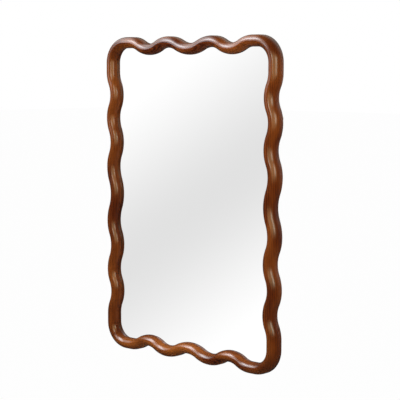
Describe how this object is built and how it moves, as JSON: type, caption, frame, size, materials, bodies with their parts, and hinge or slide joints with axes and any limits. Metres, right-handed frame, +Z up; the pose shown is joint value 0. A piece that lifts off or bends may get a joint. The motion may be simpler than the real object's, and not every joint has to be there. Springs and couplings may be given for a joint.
{
  "type": "wavy wall mirror",
  "caption": "Upright wall mirror in a solid-wood frame that waves along all sides, with rounded corners, a screwed backing board, ring hangers and rubber wall bumpers.",
  "frame": {"origin": "on the wall plane, behind the centre of the mirror; the rubber bumpers touch the wall at Y = 0", "axes": "+X to the right as the mirror is looked at, +Y into the wall, +Z up; the glass faces -Y"},
  "size_m": [0.7, 0.048, 1],
  "materials": {
    "frame_wood": "gloss lacquer over reddish walnut stain",
    "dowel_wood": "bare beech",
    "silvered_glass": "polished, silvered on its back",
    "foam": "foam tape",
    "fibreboard": "sanded medium density fibreboard",
    "zinc_steel": "zinc plated",
    "rubber": "moulded"
  },
  "bodies": {
    "root": {"top_rail": "frame_wood", "bottom_rail": "frame_wood", "left_stile": "frame_wood", "right_stile": "frame_wood", "corner_dowels": "dowel_wood", "mirror_pane": "silvered_glass", "foam_strips": "foam", "backing_board": "fibreboard", "backing_screws": "zinc_steel", "left_hanger_strap": "zinc_steel", "right_hanger_strap": "zinc_steel", "hanger_screws": "zinc_steel", "wall_bumpers": "rubber"},
    "left_ring": {"left_hanger_ring": "zinc_steel"},
    "right_ring": {"right_hanger_ring": "zinc_steel"}
  },
  "joints": [
    {"name": "left_ring_swing", "type": "hinge", "parent": "root", "child": "left_ring", "pos_m": [-0.3375, -0.0036, 0.25484], "axis": [-1, 0, 0], "range_deg": [0, 183]},
    {"name": "right_ring_swing", "type": "hinge", "parent": "root", "child": "right_ring", "pos_m": [0.3375, -0.0036, 0.25484], "axis": [-1, 0, 0], "range_deg": [0, 183]}
  ]
}
